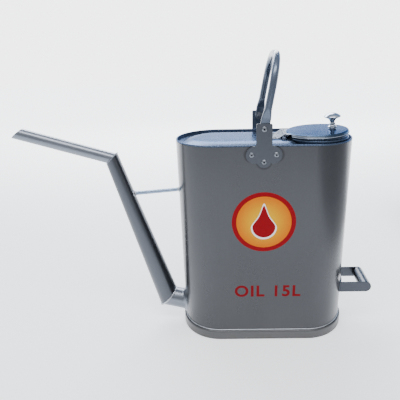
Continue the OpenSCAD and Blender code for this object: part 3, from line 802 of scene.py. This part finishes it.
class OILCAN_OT_rivets(bpy.types.Operator):
    """Sets the blind rivets, the pivot rivets and the hinge's rivets"""

    bl_idname = "oilcan.rivets"
    bl_label = "Rivets"

    def execute(self, context):
        sheet = [(0, 0.3), (0.9, 0.25), (1.45, 0.1), (1.5, 0.4), (1.5, 1.3), (1.62, 1.58),
                 (1.9, 1.7), (2.6, 1.63), (3.3, 1.38), (3.85, 1.0), (4.3, 0.5), (4.5, 0.22),
                 (4.46, 0), (2.4, 0), (2.4, -2.9), (3.3, -3.1), (3.5, -3.8), (3.45, -5.6),
                 (2.9, -6.6), (1.6, -6.85), (0, -6.9)]
        pivot = [(0, 0.4), (0.9, 0.35), (1.5, 0.2), (1.6, 0.5), (1.6, 1.45), (1.7, 1.75),
                 (2.0, 1.9), (2.8, 1.82), (3.6, 1.55), (4.15, 1.1), (4.6, 0.55), (4.8, 0.24),
                 (4.75, 0), (3, 0), (3, -8.5), (4.2, -8.6), (4.4, -9.2), (4.1, -10.0), (3.0, -10.3),
                 (0, -10.3)]
        hinge = [(0, 1.8), (0.9, 1.68), (1.8, 1.3), (2.5, 0.7), (2.9, 0.2), (3, 0), (2.95, -0.02),
                 (0, -0.02)]
        # the second material is near black: the mandrel's end and the painted shade in each rivet's hole
        looks = "rivet steel + mandrel steel"
        for side, name in ((-1, "front"), (1, "rear")):
            low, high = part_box(name + "_bracket")
            middle = (low.x + high.x) / 2
            face = (low if side < 0 else high).y
            out = (0, side, 0)
            three = bmesh.new()
            shape = darken_core(lathe([(r * MM, z * MM) for r, z in sheet], 36), 1.52 * MM)
            for x, z in BRACKET_RIVETS:
                add_copy(three, shape, facing((middle + x, face, z), out))
            shape.free()
            nodes = (name + "_bracket_rivets",)
            piece(three, name + "_set_rivets", "can", looks, nodes, 45)
            one = darken_core(lathe([(r * MM, z * MM) for r, z in pivot], 40), 1.62 * MM)
            place = facing((middle, face, joint("bail_pivot")["pos_m"][2]), out)
            bmesh.ops.transform(one, matrix=place, verts=one.verts)
            nodes = (name + "_pivot_rivet",)
            piece(one, name + "_set_pivot", "can", looks, nodes, 45)
        two = bmesh.new()
        shape = lathe([(r * MM, z * MM) for r, z in hinge], 32)
        low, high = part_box("hinge_base_rivets")
        head_r, head_h = 3 * MM, 1.8 * MM
        for y in (low.y + head_r, high.y - head_r):
            under = ((low.x + high.x) / 2, y, high.z - head_h)
            add_copy(two, shape, facing(under, (0, 0, 1), (0, 1, 0)))
        shape.free()
        piece(two, "hinge_set_rivets", "can", "rivet steel", ("hinge_base_rivets",), 45)
        return {"FINISHED"}


class OILCAN_OT_welds(bpy.types.Operator):
    """Lays the beads at the knee, the elbow and both ends of the brace, and the line on the foot"""

    bl_idname = "oilcan.welds"
    bl_label = "Welds"

    def execute(self, context):
        knee_a = (STUB_A + RISER_A) / 2
        elbow_a = (RISER_A + NOZZLE_A) / 2
        knee_r = (STUB_R + RISER_R[0]) / 2
        elbow_r = (RISER_R[1] + NOZZLE_R) / 2
        knee_long = knee_r / math.cos(knee_a - STUB_A)
        elbow_long = elbow_r / math.cos(elbow_a - RISER_A)
        self.bead("knee_bead", KNEE, knee_a, knee_long, knee_r, 1.75, 44, "knee_weld", "weld metal")
        self.foot_line()
        self.bead("elbow_bead", ELBOW, elbow_a, elbow_long, elbow_r, 1.5, 34, "elbow_weld", "spout paint")
        fillet = [(0, -1), (7.0, -1), (7.0, -0.3), (6.6, 0.3), (5.7, 0.8), (4.9, 1.5), (4.2, 2.4),
                  (3.7, 3.6), (0, 3.6)]
        both = bmesh.new()
        shape = lathe([(r * MM, z * MM) for r, z in fillet], 40)
        for v in shape.verts:
            v.co *= 1 + 0.07 * noise.noise(v.co * 900)
        add_copy(both, shape, facing(STRUT_ROOT, (-1, 0, 0)))
        add_copy(both, shape, facing(self.on_riser(), (math.cos(RISER_A), 0, -math.sin(RISER_A))))
        shape.free()
        piece(both, "brace_beads", "can", "weld metal", ("strut_pads",), 60)
        return {"FINISHED"}

    def foot_line(self):
        """A thin bead round the body on top of the foot band, in bright weld metal that stands for the
        light catching the band's top edge: a painted highlight.
        """
        radius, sides, stops = 0.9 * MM, 10, 40
        bm = bmesh.new()
        rings = []
        for side, first in ((1, -0.5), (-1, 0.5)):
            for k in range(stops + 1):
                turn = (first + k / stops) * math.pi
                out = Vector((math.cos(turn), math.sin(turn), 0))
                middle = Vector((side * END_X, 0, 0)) + out * BODY_R
                swell = radius * (1 + 0.18 * noise.noise(middle * 90))
                middle.z = FOOT_LINE_Z
                rings.append([
                    bm.verts.new(middle + (out * math.cos(a) + Vector((0, 0, math.sin(a)))) * swell)
                    for a in (FULL_TURN * i / sides for i in range(sides))
                ])
        for one, two in zip(rings, rings[1:] + rings[:1]):
            for i in range(sides):
                j = (i + 1) % sides
                bm.faces.new((one[i], one[j], two[j], two[i]))
        bmesh.ops.recalc_face_normals(bm, faces=bm.faces)
        piece(bm, "foot_line", "can", "weld metal", (), 60)

    def on_riser(self):
        """Where the brace's axis meets the riser's near side."""
        out = ahead((0, 0, 0), RISER_A + math.radians(90), 1)
        point = STRUT_ROOT
        along = 0.2
        for _ in range(30):
            radius = RISER_R[0] + (RISER_R[1] - RISER_R[0]) * along / (ELBOW - KNEE).length
            point = ahead(KNEE, RISER_A, along) + out * radius
            brace_z = STRUT_ROOT.z + (point.x - STRUT_ROOT.x) / math.tan(STRUT_A)
            along += brace_z - point.z
        return point

    def bead(self, name, point, angle, long, short, width, ripples, node, look):
        """A ring of overlapping ripples on the ellipse where two tubes are mitred."""
        bm = bmesh.new()
        ring = bmesh.ops.create_circle(bm, cap_ends=False, radius=width * MM, segments=14)["verts"]
        bmesh.ops.rotate(bm, verts=ring, cent=(0, 0, 0), matrix=Matrix.Rotation(math.radians(90), 4, "X"))
        bmesh.ops.translate(bm, verts=ring, vec=(short, 0, 0))
        steps = ripples * 6
        bmesh.ops.spin(
            bm, geom=bm.verts[:] + bm.edges[:], cent=(0, 0, 0), axis=(0, 0, 1),
            angle=FULL_TURN, steps=steps, use_merge=True)
        bmesh.ops.remove_doubles(bm, verts=bm.verts, dist=1e-7)
        bmesh.ops.recalc_face_normals(bm, faces=bm.faces)
        for v in bm.verts:
            turn = math.atan2(v.co.y, v.co.x)
            middle = Vector((math.cos(turn), math.sin(turn), 0)) * short
            arm = v.co - middle
            wave = abs(math.sin(turn * ripples / 2 + 18 * arm.z / short))
            size = 0.86 + 0.16 * wave + 0.12 * noise.noise(middle * 220)
            v.co = middle + Vector((arm.x, arm.y, arm.z * 0.85)) * size
        bmesh.ops.scale(bm, vec=(long / short, 1, 1), verts=bm.verts)
        normal = ahead((0, 0, 0), angle, 1)
        bmesh.ops.transform(bm, matrix=facing(point, normal, (0, 1, 0)), verts=bm.verts)
        return piece(bm, name, "can", look, (node,), 60)


class OILCAN_OT_collar(bpy.types.Operator):
    """Flares the stub's collar out onto the round end of the body"""

    bl_idname = "oilcan.collar"
    bl_label = "Collar"

    def execute(self, context):
        profile = [(20.0, 8.5), (20.65, 8.5), (20.8, 7.0), (21.2, 5.2), (21.9, 3.7), (23.0, 2.4),
                   (24.4, 1.5), (26.2, 0.9), (27.8, 0.6), (28.4, 0.3), (28.5, -0.6), (20.0, -0.6),
                   (20.0, 8.5)]
        bm = lathe([(r * MM, z * MM) for r, z in profile], 72)
        axis = ahead((0, 0, 0), STUB_A, 1)
        turned = facing(STUB_ROOT, axis, (0, 1, 0))
        for v in bm.verts:
            rise = v.co.z
            lump = 1 + 0.012 * noise.noise(v.co * 240)
            flat = turned @ Vector((v.co.x * lump, v.co.y * lump, 0))
            wall_x = -END_X - math.sqrt(BODY_R ** 2 - flat.y ** 2)
            v.co = flat + axis * ((wall_x - flat.x) / axis.x + rise)
        bmesh.ops.recalc_face_normals(bm, faces=bm.faces)
        piece(bm, "stub_collar", "can", "spout paint", ("spout_flange",), 60)
        return {"FINISHED"}


class OILCAN_OT_fittings(bpy.types.Operator):
    """Rounds over the edges of the brackets, the hinge leaves and the rear grip"""

    bl_idname = "oilcan.fittings"
    bl_label = "Fittings"

    def execute(self, context):
        # painted light: the rear bracket takes the paler bail paint, so that its shaded inner face looks
        # lit
        for side, look in (("front", "handle paint"), ("rear", "bail paint")):
            arm = "grip_" + side
            softened(side + "_bracket", 0.9 * MM, side + "_bracket_plate", "can", look)
            softened(arm + "_arm", 0.5 * MM, arm + "_strap", "can", "grip paint")
        softened("foot_ring", 0.5 * MM, "foot_band", "can", "foot paint")
        softened("grip_saddle", 0.4 * MM, "grip_base", "can", "grip paint")
        softened("hinge_base_leaf", 0.2 * MM, "hinge_base", "can", "hinge steel")
        softened("hinge_lid_leaf", 0.2 * MM, "hinge_flap", "lid_body", "hinge steel")
        return {"FINISHED"}


class OILCAN_OT_badge(bpy.types.Operator):
    """Prints the round emblem with its oil drop, and the capacity mark below it"""

    bl_idname = "oilcan.badge"
    bl_label = "Badge"

    def execute(self, context):
        p = context.scene.oilcan_badge
        enamel("amber enamel", p.inner, p.outer, p.place, p.radius)
        enamel("red enamel", p.red, p.red, p.place, p.radius)
        enamel("white enamel", (0.8, 0.8, 0.78), (0.8, 0.8, 0.78), p.place, p.radius)
        enamel("mark enamel", (0.16, 0.002, 0.006), (0.16, 0.002, 0.006), p.mark_place, p.radius)
        r = p.radius
        self.film("emblem_field", self.band(0, r * 0.86), p.place, 0.05, "amber enamel")
        self.film("emblem_ring", self.band(r * 0.86, r), p.place, 0.07, "red enamel")
        self.film("emblem_halo", self.drop(r * 0.405, r * 0.70), p.place, 0.09, "white enamel")
        self.film("emblem_drop", self.drop(r * 0.36, r * 0.62), p.place, 0.13, "red enamel")
        text = bpy.data.curves.new("mark", "FONT")
        text.body = p.mark
        text.size = p.mark_height / CAPITAL_SHARE
        text.align_x = "CENTER"
        text.space_character = 1.15
        text.offset = 0.0009
        text.resolution_u = 6
        holder = bpy.data.objects.new("mark", text)
        context.scene.collection.objects.link(holder)
        graph = context.evaluated_depsgraph_get()
        flat = bpy.data.meshes.new_from_object(holder.evaluated_get(graph))
        bm = bmesh.new()
        bm.from_mesh(flat)
        bpy.data.objects.remove(holder)
        bpy.data.meshes.remove(flat)
        bmesh.ops.remove_doubles(bm, verts=bm.verts, dist=1e-6)
        bmesh.ops.translate(bm, verts=bm.verts, vec=(0, -p.mark_height / 2, 0))
        self.film("capacity_mark", bm, p.mark_place, 0.07, "mark enamel")
        return {"FINISHED"}

    def band(self, inner, outer):
        """A flat disc, or a ring if it has an inner radius."""
        bm = bmesh.new()
        bmesh.ops.create_circle(bm, cap_ends=not inner, radius=outer, segments=96)
        if inner:
            bmesh.ops.create_circle(bm, cap_ends=False, radius=inner, segments=96)
            bmesh.ops.bridge_loops(bm, edges=bm.edges[:])
        return bm

    def drop(self, radius, rise):
        """A flat drop: round below, drawn up to a point above."""
        bm = bmesh.new()
        bmesh.ops.create_circle(bm, cap_ends=True, radius=radius, segments=96)
        sink = radius * 0.42
        for v in bm.verts:
            if v.co.y > 0:
                share = v.co.y / radius
                v.co.x *= 1 - 0.55 * share ** 1.5
                v.co.y = rise * (0.62 * share + 0.53 * share ** 6)
            v.co.y -= sink
        return bm

    def film(self, name, bm, place, thick, material):
        """Gives a flat shape the thickness of a paint film on the front of the body."""
        made = bmesh.ops.extrude_face_region(bm, geom=bm.faces[:])["geom"]
        raised = [g for g in made if isinstance(g, bmesh.types.BMVert)]
        sunk = 0.05
        bmesh.ops.translate(bm, verts=raised, vec=(0, 0, (thick + sunk) * MM))
        bmesh.ops.recalc_face_normals(bm, faces=bm.faces)
        upright = Matrix.Rotation(math.radians(90), 4, "X")
        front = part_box("front_bracket")[1].y
        move = Matrix.Translation((place[0], front + sunk * MM, place[1])) @ upright
        bmesh.ops.transform(bm, matrix=move, verts=bm.verts)
        return piece(bm, name, "can", material, (), 30)


class OILCAN_OT_stage(bpy.types.Operator):
    """Lays the floor, sets the lights and places the camera"""

    bl_idname = "oilcan.stage"
    bl_label = "Stage"

    def execute(self, context):
        p = context.scene.oilcan_studio
        bm = bmesh.new()
        bmesh.ops.create_grid(bm, x_segments=8, y_segments=8, size=6)
        mesh = bpy.data.meshes.new("floor")
        bm.to_mesh(mesh)
        bm.free()
        ground("floor board", p.floor)
        mesh.materials.append(bpy.data.materials["floor board"])
        floor = bpy.data.objects.new("floor", mesh)
        context.scene.collection.objects.link(floor)
        context.scene.world = bpy.data.worlds.new("soft room")
        self.room(Shader(context.scene.world, "Generated"), p.sky)
        self.panel("high panel", (-0.4, 1.5, 1.5), (0.0, 0.0, 0.2), 2.0, 0.9, 60, (0.97, 0.985, 1.0))
        self.panel("key panel", (-0.1, -0.7, 1.9), (0.0, 0.0, 0.3), 1.8, 0.55, 26, (0.97, 0.985, 1.0))
        self.camera(context, p)
        return {"FINISHED"}

    def room(self, s, strength):
        """Soft light from all round: palest low behind the can, bluer overhead and on the right."""
        rise = s.axis("Z").step(0.3, 0.8)
        behind = s.axis("Y").step(-0.1, 0.6)
        right = s.axis("X").step(0.07, 0.17)
        low = s.mix(right, (1.45, 1.8, 2.3, 1), (0.6, 0.95, 1.55, 1))
        sky = s.mix(rise, low, (0.42, 0.58, 0.86, 1))
        back = s.mix(s.axis("Z").step(0.1, 0.22), (5.2, 5.25, 5.3, 1), sky)
        front = s.mix(rise, (0.8, 0.8, 0.81, 1), (1.3, 1.32, 1.36, 1))
        inputs = {"Color": s.mix(behind, front, back), "Strength": strength}
        light = s.node("ShaderNodeBackground", {}, inputs, "Background")
        s.output("ShaderNodeOutputWorld", light)

    def panel(self, name, place, aim, width, height, power, tint):
        """A soft rectangular light that the camera doesn't see."""
        light = bpy.data.lights.new(name, "AREA")
        light.shape = "RECTANGLE"
        light.size, light.size_y = width, height
        light.energy = power
        light.color = tint
        obj = bpy.data.objects.new(name, light)
        obj.location = place
        obj.rotation_euler = (Vector(aim) - Vector(place)).to_track_quat("-Z", "Y").to_euler()
        obj.visible_camera = False
        bpy.context.scene.collection.objects.link(obj)

    def camera(self, context, p):
        """Looks down at the front of the can from above the filler lid's side."""
        data = bpy.data.cameras.new("camera")
        data.lens = p.lens
        data.sensor_width = 36
        data.shift_x = -0.079
        data.shift_y = -0.01425
        pitch, yaw, roll = (math.radians(a) for a in (19.85, -0.52, -0.97))
        level = Vector((math.sin(yaw), math.cos(yaw), 0))
        look = level * math.cos(pitch) - Vector((0, 0, math.sin(pitch)))
        right = Vector((math.cos(yaw), -math.sin(yaw), 0))
        up = right.cross(look)
        side = right * math.cos(roll) + up * math.sin(roll)
        top = up * math.cos(roll) - right * math.sin(roll)
        cam = bpy.data.objects.new("camera", data)
        m = Matrix((side, top, -look)).transposed().to_4x4()
        m.translation = Vector((-53.5, -730.6, 539.3)) * MM
        cam.matrix_world = m
        context.scene.collection.objects.link(cam)
        context.scene.camera = cam


class OILCAN_PT_panel(bpy.types.Panel):
    """Lists the can's settings and pieces"""

    bl_idname = "OILCAN_PT_panel"
    bl_label = "Oil Can"
    bl_space_type = "VIEW_3D"
    bl_region_type = "UI"
    bl_category = "Oil Can"

    def draw(self, context):
        layout = self.layout
        for holder in SETTINGS:
            box = layout.box()
            group = getattr(context.scene, holder)
            for name in group.__annotations__:
                box.prop(group, name)
        for operator in OPERATORS:
            layout.operator(operator.bl_idname)


SETTINGS = {
    "oilcan_finishes": OilCanFinishes,
    "oilcan_knob": OilCanKnob,
    "oilcan_bail": OilCanBail,
    "oilcan_badge": OilCanBadge,
    "oilcan_studio": OilCanStudio,
}
OPERATORS = (
    OILCAN_OT_finishes, OILCAN_OT_knob, OILCAN_OT_bail, OILCAN_OT_rivets, OILCAN_OT_welds,
    OILCAN_OT_collar, OILCAN_OT_fittings, OILCAN_OT_badge, OILCAN_OT_stage,
)


def register():
    for cls in (*SETTINGS.values(), *OPERATORS, OILCAN_PT_panel):
        bpy.utils.register_class(cls)
    for name, cls in SETTINGS.items():
        setattr(bpy.types.Scene, name, PointerProperty(type=cls))


def unregister():
    for name in SETTINGS:
        delattr(bpy.types.Scene, name)
    for cls in (OILCAN_PT_panel, *reversed(OPERATORS), *reversed(list(SETTINGS.values()))):
        bpy.utils.unregister_class(cls)


def main():
    register()
    for operator in OPERATORS:
        group, name = operator.bl_idname.split(".")
        getattr(getattr(bpy.ops, group), name)()


if __name__ == "__main__":
    main()
